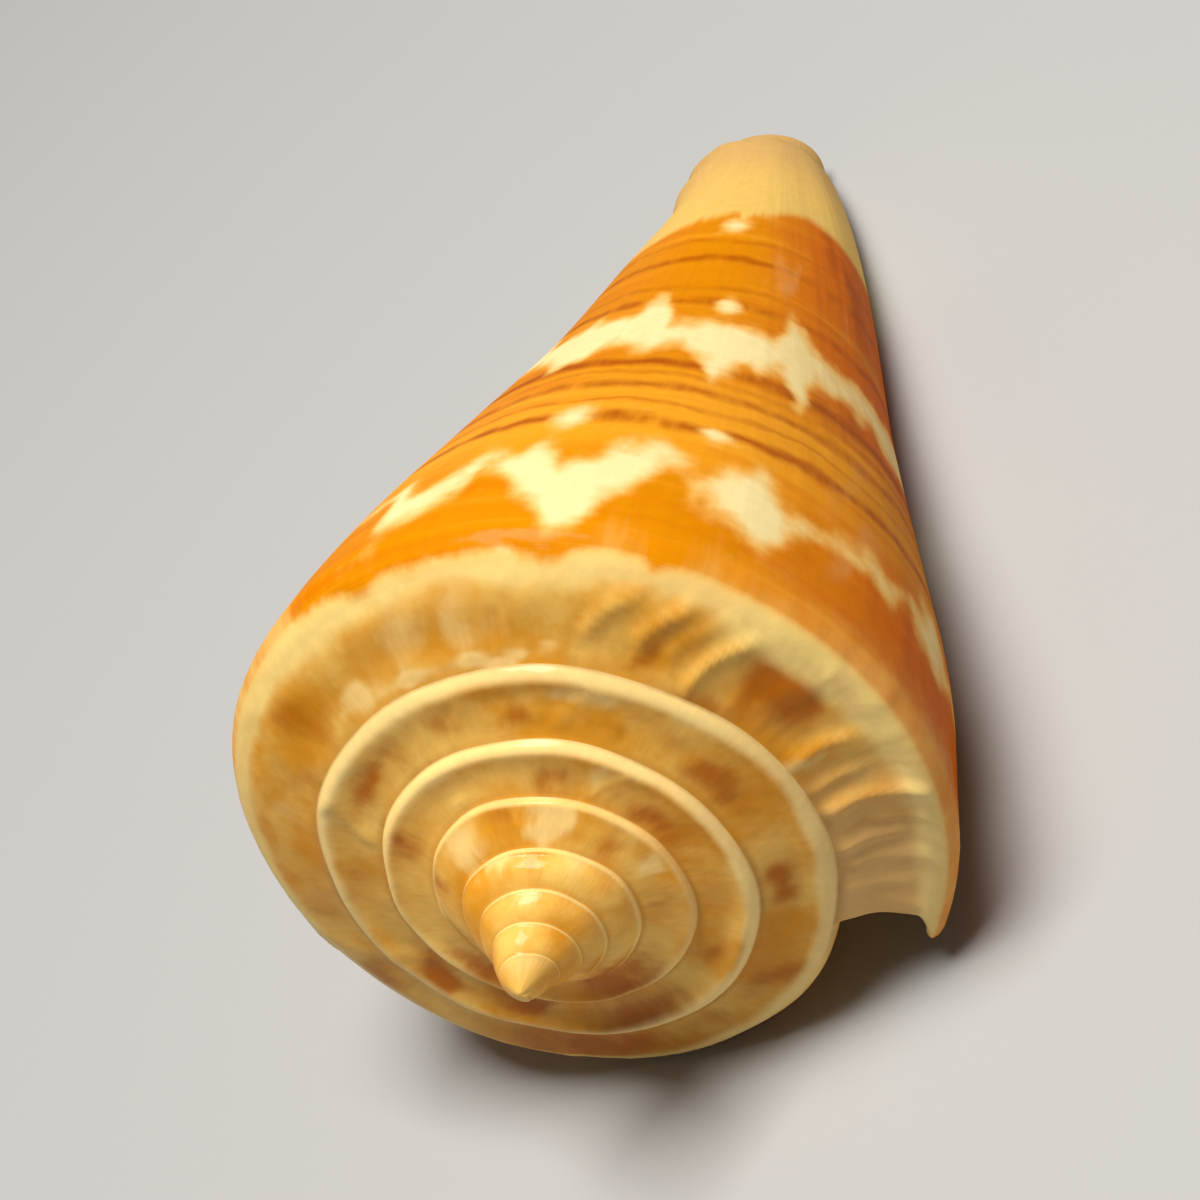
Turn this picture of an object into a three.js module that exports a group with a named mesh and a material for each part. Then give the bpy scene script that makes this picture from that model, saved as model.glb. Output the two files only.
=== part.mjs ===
// A cone shell, lying on its aperture. Millimetres, +Z up, the spire towards -Y and the front end towards +Y.
// The shell is one wall that winds round its own axis, each whorl over the last one. It is drawn upright
// first, apex up on the Z axis, and is then turned until it rests on the lip, the body whorl and the front end.
// Places along the growth are counted in whorls back from the outer lip: 0 at the lip, 8 at the apex.
import * as THREE from "three";
import { ConvexHull } from "three/addons/math/ConvexHull.js";

// Driving dimensions
const BODY_LENGTH = 50.5; // from the shoulder's level at the lip down to the front end
const APEX_HEIGHT = 9.3; // of the apex above the shoulder's level at the lip
const WHORLS = 8;
const LIP_WALL = 0.5; // thickness of the wall at the lip's edge
const BODY_WALL = 1.1; // and from a tenth of a whorl back
const CEILING = 1.0; // depth of the wall under the suture
const CHAMBER_WHORLS = 0.6; // how far the open chamber runs back from the lip
const FRONT_RADIUS = 3.2; // of the free edge round the open front end, at the lip
const FRONT_RETREAT = 0.8; // how much shorter the columella is than the lip

// The shoulder's rim: whorls back from the lip, largest radius, height of the crest above the lip's shoulder.
const RIM = [
  [0, 15.38, 0.43],
  [0.25, 14.85, 0.56],
  [0.5, 13.9, 0.8],
  [0.75, 12.5, 1.34],
  [1, 11.31, 2.08],
  [1.5, 9.76, 3.0],
  [2, 8.29, 3.45],
  [3, 5.83, 4.0],
  [4, 3.84, 4.83],
  [5, 2.71, 5.98],
  [6, 1.89, 6.95],
  [7, 1.25, 7.9],
  [7.5, 1.0, 8.55],
  [7.85, 0.62, 9.05],
  [WHORLS, 0, APEX_HEIGHT],
];

// The side below the shoulder: share of the way to the front end, radius as a share of the rim's.
const SIDE_AT_LIP = [
  [0, 1],
  [0.045, 0.98],
  [0.14, 0.939],
  [0.29, 0.818],
  [0.49, 0.652],
  [0.7, 0.506],
  [0.85, 0.382],
  [0.94, 0.283],
  [0.98, 0.22],
  [1, 0],
];
const SIDE_AT_BACK = [
  [0, 1],
  [0.045, 0.974],
  [0.14, 0.897],
  [0.29, 0.748],
  [0.49, 0.552],
  [0.7, 0.393],
  [0.85, 0.283],
  [0.94, 0.255],
  [0.98, 0.2],
  [1, 0],
];
const SIDE_AT_COLUMELLA = [
  [0, 1],
  [0.045, 0.97],
  [0.14, 0.9],
  [0.29, 0.745],
  [0.49, 0.54],
  [0.7, 0.36],
  [0.85, 0.235],
  [0.94, 0.155],
  [0.98, 0.105],
  [1, 0],
];

// The shoulder's crest is a quarter of an ellipse, in shares of the rim's radius.
const CREST_WIDTH = 0.085;
const CREST_DROP = 0.078;
const SUTURE_TURN = THREE.MathUtils.degToRad(50); // where the next whorl's suture lies on that crest
const RAMP_SAG = 0.045; // hollow of the ramp between suture and crest, as a share of its width

// The outer lip's edge: how far it lags behind, in whorls, from the suture to the front end.
const LIP_EDGE = [
  [0, 0],
  [0.33, 0.004],
  [0.67, 0.003],
  [0.83, -0.004],
  [1, -0.013],
  [1.1, -0.003],
  [1.5, 0],
  [1.8, 0.012],
  [1.93, 0.04],
  [2, 0.06],
];
const LIP_FADE = 0.35; // whorls back from the lip at which its edge no longer shapes the wall

// Divisions of the mesh
const STATIONS = 48; // in each whorl
const RAMP_ROWS = 4;
const CREST_ROWS = 2;
const SIDE_SHARES = [0.06, 0.13, 0.22, 0.33, 0.45, 0.57, 0.69, 0.8, 0.88, 0.94, 0.98, 1];
const SUTURE_ROW = RAMP_ROWS + CREST_ROWS;
const CEILING_ROW = SUTURE_ROW + 1;
const FRONT_ROW = CEILING_ROW + SIDE_SHARES.length;
const APEX_STATION = WHORLS * STATIONS;
const CHAMBER_STATIONS = Math.round(CHAMBER_WHORLS * STATIONS);

const { lerp, smoothstep, clamp } = THREE.MathUtils;

// A smooth curve through rows of numbers, read at x: column 0 is x, and no value overshoots its neighbours.
function curve(rows, x, column = 1) {
  const last = rows.length - 1;
  const at = clamp(x, rows[0][0], rows[last][0]);
  const k = Math.min(rows.findLastIndex((row) => row[0] <= at), last - 1);
  const rise = (i) => (rows[i + 1][column] - rows[i][column]) / (rows[i + 1][0] - rows[i][0]);
  const slope = (i) => {
    if (i === 0) return rise(0);
    if (i === last) return rise(last - 1);
    const [before, after] = [rise(i - 1), rise(i)];
    return before * after <= 0 ? 0 : (2 * before * after) / (before + after);
  };
  const width = rows[k + 1][0] - rows[k][0];
  const s = (at - rows[k][0]) / width;
  const fromStart = rows[k][column] * (1 + 2 * s) + slope(k) * width * s;
  const fromEnd = rows[k + 1][column] * (3 - 2 * s) - slope(k + 1) * width * (1 - s);
  return fromStart * (1 - s) ** 2 + fromEnd * s ** 2;
}

const rimRadius = (whorl) => curve(RIM, whorl, 1);
const rimHeight = (whorl) => curve(RIM, whorl, 2);

// A point [radius, height] on the crest: turn 0 is its top, a quarter turn its outermost line.
function crest(whorl, turn) {
  const radius = rimRadius(whorl);
  return [
    radius * (1 - CREST_WIDTH * (1 - Math.sin(turn))),
    rimHeight(whorl) - radius * CREST_DROP * (1 - Math.cos(turn)),
  ];
}

// The suture lies against the whorl before it.
const suture = (whorl) => crest(whorl + 1, SUTURE_TURN);

function ramp(whorl, share) {
  const [innerRadius, innerHeight] = suture(whorl);
  const [outerRadius, outerHeight] = crest(whorl, 0);
  const sag = RAMP_SAG * (outerRadius - innerRadius) * 4 * share * (1 - share);
  return [lerp(innerRadius, outerRadius, share), lerp(innerHeight, outerHeight, share) - sag];
}

// The free edge round the front end winds in from the lip and meets the axis where the chamber ends.
function frontEdge(whorl) {
  const inwards = smoothstep(whorl, 0, CHAMBER_WHORLS);
  return [FRONT_RADIUS * (1 - inwards), -BODY_LENGTH + FRONT_RETREAT * inwards];
}

function sideShare(whorl, share) {
  const lip = curve(SIDE_AT_LIP, share);
  const back = curve(SIDE_AT_BACK, share);
  const columella = curve(SIDE_AT_COLUMELLA, share);
  return whorl < 0.5
    ? lerp(lip, back, smoothstep(whorl, 0, 0.5))
    : lerp(back, columella, smoothstep(whorl, 0.5, 1));
}

function side(whorl, share) {
  const [, top] = crest(whorl, Math.PI / 2);
  const [, front] = frontEdge(whorl);
  return [rimRadius(whorl) * sideShare(whorl, share), lerp(top, front, share)];
}

// The wall's outer face, [radius, height], at a whorl and a row of the mesh.
function outerFace(whorl, row) {
  if (row < RAMP_ROWS) return ramp(whorl, row / RAMP_ROWS);
  if (row <= SUTURE_ROW) return crest(whorl, (SUTURE_TURN * (row - RAMP_ROWS)) / CREST_ROWS);
  if (row === CEILING_ROW) return side(whorl, CEILING / BODY_LENGTH);
  if (row === FRONT_ROW) return frontEdge(whorl);
  return side(whorl, SIDE_SHARES[row - CEILING_ROW - 1]);
}

// The wall's inner face, one thickness in from the outer one.
function innerFace(whorl, row) {
  const wall = lerp(LIP_WALL, BODY_WALL, smoothstep(whorl, 0, 0.1));
  const [radius, height] = outerFace(whorl, row);
  const [beforeRadius, beforeHeight] = outerFace(whorl, row - 1);
  const [afterRadius, afterHeight] = outerFace(whorl, row + 1);
  const along = new THREE.Vector2(afterRadius - beforeRadius, afterHeight - beforeHeight).normalize();
  return [radius + along.y * wall, height - along.x * wall];
}

// How far a row of the lip's edge lags behind the suture, in whorls.
function lag(whorl, row) {
  const place =
    row <= SUTURE_ROW ? row / SUTURE_ROW : 1 + (SIDE_SHARES[row - CEILING_ROW - 1] ?? CEILING / BODY_LENGTH);
  return curve(LIP_EDGE, place) * (1 - smoothstep(whorl, 0, LIP_FADE));
}

function place([radius, height], station, turns) {
  const angle = 2 * Math.PI * ((station % STATIONS) / STATIONS + turns);
  return [radius * Math.cos(angle), radius * Math.sin(angle), height];
}

// The vertices of the mesh, each made once and then found again by its key.
class Mesh {
  positions = [];
  faces = [];
  made = new Map();

  vertex(key, point) {
    if (!this.made.has(key)) {
      this.made.set(key, this.positions.length / 3);
      this.positions.push(...point());
    }
    return this.made.get(key);
  }

  outer(station, row) {
    if (station >= APEX_STATION) return this.vertex("apex", () => [0, 0, APEX_HEIGHT]);
    if (row === 0) return this.outer(station + STATIONS, SUTURE_ROW);
    const whorl = station / STATIONS;
    if (row === FRONT_ROW && station >= CHAMBER_STATIONS)
      return this.vertex("front", () => [0, 0, frontEdge(whorl)[1]]);
    return this.vertex(`outer ${station} ${row}`, () =>
      place(outerFace(whorl, row), station, lag(whorl, row)),
    );
  }

  inner(station, row) {
    if (row === 0) return this.outer(station + STATIONS, CEILING_ROW);
    if (row === FRONT_ROW) return this.outer(station, FRONT_ROW);
    const whorl = station / STATIONS;
    return this.vertex(`inner ${station} ${row}`, () =>
      place(innerFace(whorl, row), station, lag(whorl, row)),
    );
  }

  quad(a, b, c, d) {
    for (const [p, q, r] of [
      [a, b, c],
      [a, c, d],
    ])
      if (p !== q && q !== r && r !== p) this.faces.push(p, q, r);
  }

  geometry() {
    return new THREE.BufferGeometry()
      .setAttribute("position", new THREE.Float32BufferAttribute(this.positions, 3))
      .setIndex(this.faces);
  }
}

// A patch of the outer face between two stations and two rows.
function addOuterFace(mesh, stations, rows) {
  for (let i = stations[0]; i < stations[1]; i++)
    for (let j = rows[0]; j < rows[1]; j++)
      mesh.quad(mesh.outer(i, j), mesh.outer(i, j + 1), mesh.outer(i + 1, j + 1), mesh.outer(i + 1, j));
}

function addChamberLining(mesh) {
  for (let i = 0; i < CHAMBER_STATIONS; i++)
    for (let j = 0; j < FRONT_ROW; j++)
      mesh.quad(mesh.inner(i, j), mesh.inner(i + 1, j), mesh.inner(i + 1, j + 1), mesh.inner(i, j + 1));
}

function addLipEdge(mesh) {
  for (let j = 0; j < FRONT_ROW; j++)
    mesh.quad(mesh.outer(0, j), mesh.inner(0, j), mesh.inner(0, j + 1), mesh.outer(0, j + 1));
}

function addChamberEnd(mesh) {
  const end = CHAMBER_STATIONS;
  const columella = (row) => mesh.outer(end + STATIONS, Math.max(row, CEILING_ROW));
  for (let j = 0; j < FRONT_ROW; j++)
    mesh.quad(mesh.inner(end, j), columella(j), columella(j + 1), mesh.inner(end, j + 1));
}

function makeShell() {
  const mesh = new Mesh();
  addOuterFace(mesh, [0, APEX_STATION], [0, SUTURE_ROW]); // the spire's ramps and rims
  addOuterFace(mesh, [0, STATIONS], [SUTURE_ROW, FRONT_ROW]); // the last whorl's side
  addOuterFace(mesh, [STATIONS, STATIONS + CHAMBER_STATIONS], [CEILING_ROW, FRONT_ROW]); // the columella
  addChamberLining(mesh);
  addLipEdge(mesh);
  addChamberEnd(mesh);
  return mesh.geometry();
}

function centreOfMass(geometry) {
  const position = geometry.getAttribute("position");
  const corner = (k) => new THREE.Vector3().fromBufferAttribute(position, geometry.index.getX(k));
  const sum = new THREE.Vector3();
  let volume = 0;
  for (let k = 0; k < geometry.index.count; k += 3) {
    const [a, b, c] = [corner(k), corner(k + 1), corner(k + 2)];
    const part = a.dot(new THREE.Vector3().crossVectors(b, c)) / 6;
    volume += part;
    sum.addScaledVector(a.add(b).add(c), part / 4);
  }
  return sum.divideScalar(volume);
}

// The outward normal of the hull's face that the shell can stand on, nearest the aperture's side.
function undersideNormal(geometry) {
  const position = geometry.getAttribute("position");
  const points = Array.from({ length: position.count }, (_, k) =>
    new THREE.Vector3().fromBufferAttribute(position, k),
  );
  const centre = centreOfMass(geometry);
  const apertureSide = new THREE.Vector3(1, -1, 0).normalize();
  const stable = new ConvexHull().setFromPoints(points).faces.filter((face) => {
    const foot = centre.clone().addScaledVector(face.normal, face.constant - face.normal.dot(centre));
    let edge = face.edge;
    do {
      const [from, to] = [edge.tail().point, edge.head().point];
      const inward = new THREE.Vector3().crossVectors(face.normal, to.clone().sub(from));
      if (inward.dot(foot.clone().sub(from)) < 0) return false;
      edge = edge.next;
    } while (edge !== face.edge);
    return true;
  });
  stable.sort((a, b) => b.normal.dot(apertureSide) - a.normal.dot(apertureSide));
  return stable[0].normal;
}

// Turns the upright shell onto its underside, points its apex to -Y and stands it on the origin.
function layDown(geometry) {
  const down = new THREE.Quaternion().setFromUnitVectors(
    undersideNormal(geometry),
    new THREE.Vector3(0, 0, -1),
  );
  geometry.applyQuaternion(down);
  const apex = new THREE.Vector3(0, 0, 1).applyQuaternion(down);
  geometry.rotateZ(-Math.PI / 2 - Math.atan2(apex.y, apex.x));
  geometry.computeBoundingBox();
  const { min, max } = geometry.boundingBox;
  geometry.translate(-(min.x + max.x) / 2, -(min.y + max.y) / 2, -min.z);
}

const geometry = makeShell();
layDown(geometry);
geometry.computeVertexNormals();

const shell = new THREE.Mesh(
  geometry,
  new THREE.MeshStandardMaterial({ color: 0xe0a35c, roughness: 0.35, metalness: 0 }),
);
shell.name = "shell";

const part = new THREE.Group();
part.add(shell);
export default part;
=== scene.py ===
"""A cone shell lying on its aperture, seen from its spire, on a plain pale floor.

The shell is one wall that winds round its own axis, each whorl over the last one. Places along the growth
are counted in whorls back from the outer lip: 0 at the lip, 8 at the apex. Places across the wall are 0 at
the suture, 2/3 where the ramp meets the shoulder's crest, 1 where the next whorl lies against it, and 2 at
the front end. Dimensions are in millimetres until the mesh is made.
"""
import math
import random

import bpy
import numpy as np
from mathutils import Matrix, Vector, noise


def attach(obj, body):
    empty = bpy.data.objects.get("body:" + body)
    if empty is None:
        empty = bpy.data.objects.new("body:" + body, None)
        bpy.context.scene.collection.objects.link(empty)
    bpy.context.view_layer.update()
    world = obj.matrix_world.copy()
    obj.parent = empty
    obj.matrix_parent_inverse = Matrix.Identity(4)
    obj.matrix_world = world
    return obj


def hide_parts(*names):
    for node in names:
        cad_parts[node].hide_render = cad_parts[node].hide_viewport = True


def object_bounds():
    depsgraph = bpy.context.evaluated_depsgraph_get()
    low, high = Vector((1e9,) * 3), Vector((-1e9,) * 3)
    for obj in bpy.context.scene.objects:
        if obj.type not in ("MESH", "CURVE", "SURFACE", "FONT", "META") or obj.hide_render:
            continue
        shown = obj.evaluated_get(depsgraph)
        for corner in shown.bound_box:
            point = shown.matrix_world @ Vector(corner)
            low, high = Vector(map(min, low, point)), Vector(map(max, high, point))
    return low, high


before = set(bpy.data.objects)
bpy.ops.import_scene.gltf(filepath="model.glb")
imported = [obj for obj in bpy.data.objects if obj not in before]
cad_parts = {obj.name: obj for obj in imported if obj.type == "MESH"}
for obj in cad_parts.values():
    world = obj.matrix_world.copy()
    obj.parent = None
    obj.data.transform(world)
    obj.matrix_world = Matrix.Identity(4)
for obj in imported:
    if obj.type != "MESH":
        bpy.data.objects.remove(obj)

MM = 0.001
cad_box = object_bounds()

# Driving dimensions, as in the part's source
BODY_LENGTH = 50.5
APEX_HEIGHT = 9.3
WHORLS = 8
LIP_WALL = 0.5
BODY_WALL = 1.1
CEILING = 1.0
CHAMBER_WHORLS = 0.6
FRONT_RADIUS = 3.2
FRONT_RETREAT = 0.8
RIM = [
    (0, 15.38, 0.43),
    (0.25, 14.85, 0.56),
    (0.5, 13.9, 0.8),
    (0.75, 12.5, 1.34),
    (1, 11.31, 2.08),
    (1.5, 9.76, 3.0),
    (2, 8.29, 3.45),
    (3, 5.83, 4.0),
    (4, 3.84, 4.83),
    (5, 2.71, 5.98),
    (6, 1.89, 6.95),
    (7, 1.25, 7.9),
    (7.5, 1.0, 8.55),
    (7.85, 0.62, 9.05),
    (WHORLS, 0, APEX_HEIGHT),
]
# The side below the shoulder: share of the way to the front, and its radius at the lip, half a whorl back
# and at the columella, as shares of the crest's
SIDE = [
    (0, 1, 1, 1),
    (0.045, 0.98, 0.974, 0.97),
    (0.14, 0.939, 0.897, 0.9),
    (0.29, 0.818, 0.748, 0.745),
    (0.49, 0.652, 0.552, 0.54),
    (0.7, 0.506, 0.393, 0.36),
    (0.85, 0.382, 0.283, 0.235),
    (0.94, 0.283, 0.255, 0.155),
    (0.98, 0.22, 0.2, 0.105),
]
# How the crest wanders in and out as it winds: share of its radius, waves in a whorl, and phase
WANDER = [(0.006, 2.7, 0.4), (0.005, 5.3, 2.2), (0.004, 9.1, 4.0)]
CREST_WIDTH = 0.085
# How far the crest drops from its top to its outermost line, by whorls back, as a share of its radius
CREST_DROP = [(0, 0.078), (0.8, 0.078), (1.2, 0.1), (2.5, 0.13), (4, 0.22), (WHORLS, 0.22)]
# Where the ramp runs on to the crest, in degrees from its top: the steep old ramps meet it further out
CREST_START = [(0, 0), (2, 0), (3, 10), (4, 22), (WHORLS, 28)]
SUTURE_TURN = math.radians(50)
RAMP_SAG = 0.045
HALF_WHORL = 0.5
# How far the lip's edge lags, in whorls, by its place across the wall
LIP_EDGE = [
    (0, 0),
    (0.33, 0.004),
    (0.67, 0.003),
    (0.83, -0.004),
    (1, -0.013),
    (1.1, -0.003),
    (1.5, 0),
    (1.8, 0.012),
    (1.93, 0.04),
    (2, 0.06),
]
LIP_FADE = 0.35  # whorls back from the lip to where nothing lags

# The resting shell is rolled until its aperture is underneath, and then lies with its spire end tipped up
ROLL = math.radians(-38.06)
SPIRE_TILT = math.radians(11.74)

# Places across the wall
CREST = 2 / 3
SHOULDER = 1.0
WIDEST = 1.02
FRONT = 2.0
ROUNDED = SIDE[-1][0]
CEILING_PLACE = WIDEST + (FRONT - WIDEST) * CEILING / BODY_LENGTH
# The wall's direction is taken from this far to both sides of a place: wide on the ramp, fine on the side
WIDE_STEP = 0.05
FINE_STEP = 0.002
STEP_CHANGE = (0.85, 1)
TINY = 1e-6  # small beside any length, place or whorl

# Columns in each whorl, closest where the lip's edge is rounded off and closer where the growth is rough
LIP_COLUMNS = [0, 0.0003, 0.0008, 0.0016]
ROUGH_SHARE = 0.4
ROUGH_COLUMNS = 192
SMOOTH_COLUMNS = 120
FRACTIONS = np.concatenate(
    [
        LIP_COLUMNS,
        np.linspace(0, ROUGH_SHARE, ROUGH_COLUMNS + 1)[2:],
        np.linspace(ROUGH_SHARE, 1, SMOOTH_COLUMNS + 1)[1:-1],
    ]
)
# Rows across the wall: each stretch of the side has more of them where there are jagged marks
RAMP_ROWS = np.linspace(0, CREST, 11)
CREST_ROWS = np.linspace(CREST, SHOULDER, 7)[1:]
WIDEST_ROWS = [SHOULDER + 0.007, SHOULDER + 0.014, WIDEST, CEILING_PLACE]
SIDE_STRETCHES = [(CEILING_PLACE, 1.17, 12), (1.17, 1.31, 9), (1.31, 1.51, 16), (1.51, 1.93, 14)]
FRONT_ROWS = [1.945, 1.958, 1.97, 1.98, 1.988, 1.994, 1.998, FRONT]
SIDE_ROWS = np.concatenate(
    [
        WIDEST_ROWS,
        *(np.linspace(first, last, rows + 1)[1:] for first, last, rows in SIDE_STRETCHES),
        FRONT_ROWS,
    ]
)
TOP_PLACES = np.concatenate([RAMP_ROWS, CREST_ROWS])
SIDE_PLACES = np.concatenate([[SHOULDER], SIDE_ROWS])
ALL_PLACES = np.concatenate([TOP_PLACES, SIDE_ROWS])
COLUMELLA_PLACES = SIDE_PLACES[SIDE_PLACES >= CEILING_PLACE]


def curve(rows, x, column=1):
    """A smooth curve through rows of numbers, read at x; no value overshoots its neighbours."""
    at = np.array([row[0] for row in rows], float)
    value = np.array([row[column] for row in rows], float)
    rise = np.diff(value) / np.diff(at)
    total = rise[:-1] + rise[1:]
    mean = 2 * rise[:-1] * rise[1:] / np.where(total == 0, 1, total)
    slope = np.concatenate([rise[:1], np.where(rise[:-1] * rise[1:] > 0, mean, 0), rise[-1:]])
    x = np.clip(x, at[0], at[-1])
    k = np.clip(np.searchsorted(at, x, side="right") - 1, 0, len(at) - 2)
    width = at[k + 1] - at[k]
    s = (x - at[k]) / width
    from_start = value[k] * (1 + 2 * s) + slope[k] * width * s
    from_end = value[k + 1] * (3 - 2 * s) - slope[k + 1] * width * (1 - s)
    return from_start * (1 - s) ** 2 + from_end * s ** 2


def smoothstep(x, low, high):
    s = np.clip((x - low) / (high - low), 0, 1)
    return s * s * (3 - 2 * s)


def plateau(x, rise, fall):
    """1 between two slopes and 0 outside them; a slope is given by its two ends."""
    return smoothstep(x, *rise) * (1 - smoothstep(x, *fall))


def lerp(a, b, share):
    return a + (b - a) * share


def arch(share):
    """0 at both ends of a share and 1 halfway."""
    return 4 * share * (1 - share)


def crest_radius(whorl):
    wander = sum(share * np.sin(2 * np.pi * waves * whorl + phase) for share, waves, phase in WANDER)
    return curve(RIM, whorl, 1) * (1 + wander * smoothstep(whorl, 0, 1))


def crest(whorl, turn):
    """A point on the shoulder's quarter ellipse, as radius and height: turn 0 is its top."""
    radius = crest_radius(whorl)
    drop = radius * curve(CREST_DROP, whorl) * (1 - np.cos(turn))
    return radius * (1 - CREST_WIDTH * (1 - np.sin(turn))), curve(RIM, whorl, 2) - drop


def front_edge(whorl):
    """The free edge round the front end winds in from the lip and meets the axis where the chamber ends."""
    inwards = smoothstep(whorl, 0, CHAMBER_WHORLS)
    return FRONT_RADIUS * (1 - inwards), -BODY_LENGTH + FRONT_RETREAT * inwards


def side(whorl, share):
    """The side from the widest line to the front, where it is rounded off to the free edge."""
    lip, back, columella = (curve(SIDE, share, k) for k in (1, 2, 3))
    towards_back = lerp(lip, back, smoothstep(whorl, 0, HALF_WHORL))
    radius = lerp(towards_back, columella, smoothstep(whorl, HALF_WHORL, 1)) * crest_radius(whorl)
    edge_radius, edge_height = front_edge(whorl)
    closing = np.clip((share - ROUNDED) / (1 - ROUNDED), 0, 1)
    radius = lerp(edge_radius, radius, np.sqrt(1 - closing ** 2))
    return radius, lerp(crest(whorl, np.pi / 2)[1], edge_height, share)


def section(whorl, place):
    """The wall's outer face, as radius and height."""
    suture_radius, suture_height = crest(whorl + 1, SUTURE_TURN)
    start_turn = np.radians(curve(CREST_START, whorl))
    top_radius, top_height = crest(whorl, start_turn)
    share = np.clip(place / CREST, 0, 1)
    sag = RAMP_SAG * (top_radius - suture_radius) * arch(share)
    ramp = lerp(suture_radius, top_radius, share), lerp(suture_height, top_height, share) - sag
    to_suture = lerp(start_turn, SUTURE_TURN, (place - CREST) / (SHOULDER - CREST))
    to_widest = lerp(SUTURE_TURN, np.pi / 2, (place - SHOULDER) / (WIDEST - SHOULDER))
    rim = crest(whorl, np.clip(np.where(place < SHOULDER, to_suture, to_widest), 0, np.pi / 2))
    below = side(whorl, np.clip((place - WIDEST) / (FRONT - WIDEST), 0, 1))
    return [
        np.where(place < CREST, ramp[k], np.where(place < WIDEST, rim[k], below[k])) for k in (0, 1)
    ]


def outward(whorl, place):
    """The outer face's outward direction, as radius and height, smoothed where the ramp meets the crest."""
    step = lerp(WIDE_STEP, FINE_STEP, smoothstep(place, *STEP_CHANGE))
    before = section(whorl, np.maximum(place - step, 0))
    after = section(whorl, np.minimum(place + step, FRONT - TINY))
    along = [after[k] - before[k] for k in (0, 1)]
    length = np.maximum(np.hypot(*along), TINY)
    return -along[1] / length, along[0] / length


# Relief

# How growth lines lean, in whorls, from the suture across the ramp and down the side
GROWTH_LEAN = [
    (0, 0),
    (0.3, -0.006),
    (0.5, -0.014),
    (0.65, -0.02),
    (0.8, -0.016),
    (1, -0.005),
    (1.1, -0.03),
    (1.5, -0.035),
    (1.8, -0.02),
    (2, 0.03),
]
# Rests in the growth: whorls back, height of the old lip, its width towards the lip, first and last place
GROWTH_RESTS = [
    (0.015, 0.1, 0.005, 0.3, 0.85),
    (0.028, 0.16, 0.006, 0.0, 0.6),
    (0.046, 0.18, 0.008, 0.1, 0.8),
    (0.06, 0.22, 0.005, 0.0, 0.55),
    (0.07, 0.14, 0.004, 0.3, 0.9),
    (0.089, 0.4, 0.01, 0.0, 0.95),
    (0.105, 0.18, 0.005, 0.0, 0.5),
    (0.127, 0.28, 0.01, 0.0, 0.62),
    (0.165, 0.1, 0.01, 0.1, 0.9),
    (0.203, 0.36, 0.006, 0.0, 0.66),
    (0.222, 0.1, 0.004, 0.2, 0.7),
    (0.24, 0.28, 0.006, 0.25, 0.72),
    (0.266, 0.24, 0.006, 0.2, 0.68),
    (0.31, 0.05, 0.01, 0.0, 0.5),
    (0.42, 0.05, 0.01, 0.1, 0.7),
    (0.49, 0.07, 0.012, 0.2, 0.9),
    (0.64, 0.1, 0.012, 0.1, 1.2),
    (0.8, 0.06, 0.01, 0.1, 0.9),
    (0.93, 0.09, 0.012, 0.1, 0.95),
    (1.275, 0.07, 0.012, 0.1, 0.8),
    (1.36, 0.06, 0.01, 0.05, 0.6),
    (1.51, 0.13, 0.012, 0.1, 0.95),
    (1.66, 0.06, 0.01, 0.2, 0.9),
    (2.23, 0.06, 0.015, 0.1, 0.9),
]
REST_BACK = 0.004  # width of an old lip's steeper side, which faces away from the lip
REST_SHARPNESS = 1.4
# Where an old lip starts and ends across the wall, in places from its first and from its last
REST_START = (-0.06, 0.04)
REST_END = (-0.15, 0.06)
# Growth lines, and the wall's slow swells: height, how often they come in a whorl and in a place, and seed
GROWTH_LINES = [(0.05, 95, 1.3, 3.1), (0.03, 220, 2.2, 7.7)]
SWELLS = (0.09, 17, 3.5, 11.3)
# Growth lines get fainter by these shares, back from the lip and down the side
FAINTER_BACK = 0.6
BACK_FROM_LIP = (0.1, 0.6)  # whorls back
FAINTER_BELOW = 0.75
BELOW_CREST = (0.9, 1.2)  # places
# Near the lip they lean less than the table says, in step with whorls back, between two limits
LEAN_WHORL = 0.2
LEAN_LIMITS = (0.3, 1.2)
# Whitish knobs beside the suture: whorls back, place, radius in whorls, height
KNOBS = [
    (0.27, 0.08, 0.005, 0.1),
    (0.327, 0.07, 0.016, 0.1),
    (0.352, 0.05, 0.012, 0.08),
    (0.366, 0.1, 0.014, 0.1),
    (0.404, 0.16, 0.006, 0.14),
    (0.421, 0.09, 0.008, 0.12),
    (1.29, 0.28, 0.008, 0.06),
    (2.385, 0.17, 0.012, 0.07),
]
KNOB_LENGTH = 5  # how long a knob is across the ramp, in places, for its length along it, in whorls

# The raised cord along each crest
BEAD = 0.013  # height, as a share of the crest's radius
BEAD_TOP = 0.72  # the place of its top on the middle whorls
INNER_BEAD_TOP = 0.78  # and on the smallest
BEAD_MOVES = (2.2, 3.2)  # whorls back, from the one to the other
BEAD_WIDTH = 0.42  # of its gentle inner slope, in places
BEAD_END = 0.99  # the place where its outer slope ends
BEAD_KNOBS = (0.6, 22, 0, 21.0)  # how uneven its height is, as above
BEAD_STARTS = (0.75, 1.05)  # whorls back

# The swelling of the last whorl's ramp, where there is no cord
SWELLING = 0.5
SWELLING_TOP = 0.5  # place
SWELLING_END = 1.03  # place
SWELLING_STARTS = (0.04, 0.24)  # whorls back

# The bulge of the smallest whorls' ramps
BULGE = 0.06  # as a share of the crest's radius
BULGE_STARTS = (2.8, 4.2)  # whorls back

# Wavy folds round the front
FOLD_HEIGHT = 0.18
FOLD_PERIOD = 0.045  # places
FOLDS_RISE = (1.8, 1.88)  # places
FOLDS_FALL = (1.97, 1.99)  # places
FOLDS_START = (0.28, 0.36)  # whorls back

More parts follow.
